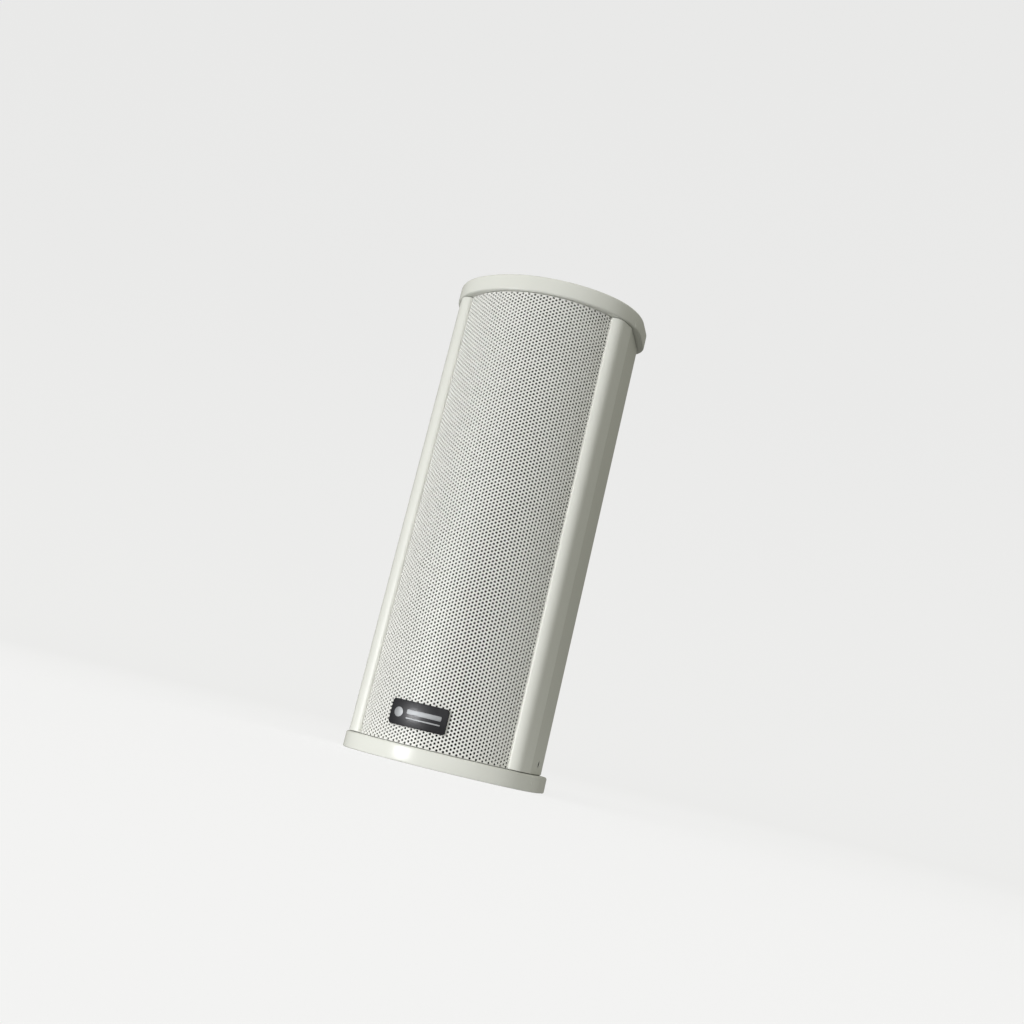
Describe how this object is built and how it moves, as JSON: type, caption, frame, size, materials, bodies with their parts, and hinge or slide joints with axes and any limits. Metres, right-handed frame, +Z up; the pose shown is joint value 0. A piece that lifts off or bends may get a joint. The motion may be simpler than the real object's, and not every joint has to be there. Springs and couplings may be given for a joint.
{
  "type": "column loudspeaker",
  "caption": "Short wall-mount column loudspeaker: curved perforated grille in a D-section aluminium housing between two overhanging end caps, small full-range drivers inside.",
  "frame": {"origin": "on the underside of the bottom cap, under the middle of the object's width and depth", "axes": "+Z up along the column, -Y is the grille side, +X to the right when the grille is looked at from the front"},
  "size_m": [0.108, 0.078, 0.266],
  "materials": {
    "housing_paint": "satin off-white powder coat on extruded aluminium",
    "grille_paint": "satin off-white powder coat on perforated steel",
    "cap_plastic": "moulded off-white satin ABS",
    "black_cloth": "open acoustic cloth",
    "black_gloss": "black gloss with a brushed silver motif",
    "rubber": "matt black",
    "gasket": "grey sponge rubber",
    "black_steel": "black oxide",
    "baffle_board": "dark sealed fibreboard",
    "basket_paint": "pressed steel, black coat",
    "cone_paper": "treated paper",
    "spider_cloth": "resin-dipped corrugated cloth",
    "copper": "enamelled copper wire",
    "bright_steel": "zinc plated",
    "ferrite": "sintered ferrite",
    "core_steel": "stacked laminations",
    "winding_tape": "polyester tape",
    "black_plastic": "moulded black",
    "lead_sleeve": "PVC insulated wire"
  },
  "bodies": {
    "root": {"housing_shell": "housing_paint", "front_grille": "grille_paint", "grille_cloth": "black_cloth", "badge": "black_gloss", "top_cap": "cap_plastic", "bottom_cap": "cap_plastic", "top_seal": "gasket", "bottom_seal": "gasket", "top_cap_screw_front_left": "black_steel", "top_cap_screw_rear_left": "black_steel", "top_cap_screw_front_right": "black_steel", "top_cap_screw_rear_right": "black_steel", "bottom_cap_screw_front_left": "black_steel", "bottom_cap_screw_rear_left": "black_steel", "bottom_cap_screw_front_right": "black_steel", "bottom_cap_screw_rear_right": "black_steel", "side_screw_left": "black_steel", "side_screw_right": "black_steel", "baffle": "baffle_board", "driver_basket_lower": "basket_paint", "driver_surround_lower": "rubber", "driver_spider_lower": "spider_cloth", "magnet_top_plate_lower": "bright_steel", "magnet_lower": "ferrite", "magnet_yoke_lower": "bright_steel", "driver_terminal_lower": "winding_tape", "driver_screw_lower_1": "black_steel", "driver_screw_lower_2": "black_steel", "driver_screw_lower_3": "black_steel", "driver_screw_lower_4": "black_steel", "driver_basket_upper": "basket_paint", "driver_surround_upper": "rubber", "driver_spider_upper": "spider_cloth", "magnet_top_plate_upper": "bright_steel", "magnet_upper": "ferrite", "magnet_yoke_upper": "bright_steel", "driver_terminal_upper": "winding_tape", "driver_screw_upper_1": "black_steel", "driver_screw_upper_2": "black_steel", "driver_screw_upper_3": "black_steel", "driver_screw_upper_4": "black_steel", "transformer_core": "core_steel", "transformer_winding": "winding_tape", "transformer_bracket": "bright_steel", "transformer_screw_lower": "black_steel", "transformer_screw_upper": "black_steel", "mounting_insert_lower": "bright_steel", "mounting_insert_upper": "bright_steel", "terminal_plate": "black_plastic", "terminal_block": "black_plastic", "terminal_screw_left": "black_steel", "terminal_screw_right": "black_steel", "input_lead": "lead_sleeve", "speaker_lead": "lead_sleeve"},
    "cone_lower": {"driver_cone_lower": "cone_paper", "driver_dust_cap_lower": "cone_paper", "voice_coil_lower": "copper"},
    "cone_upper": {"driver_cone_upper": "cone_paper", "driver_dust_cap_upper": "cone_paper", "voice_coil_upper": "copper"}
  },
  "joints": [
    {"name": "lower_cone_travel", "type": "slide", "parent": "root", "child": "cone_lower", "axis": [0, -1, 0], "range_m": [-0.0015, 0.0015], "stiffness_N_per_m": 1700},
    {"name": "upper_cone_travel", "type": "slide", "parent": "root", "child": "cone_upper", "axis": [0, -1, 0], "range_m": [-0.0015, 0.0015], "stiffness_N_per_m": 1700}
  ]
}
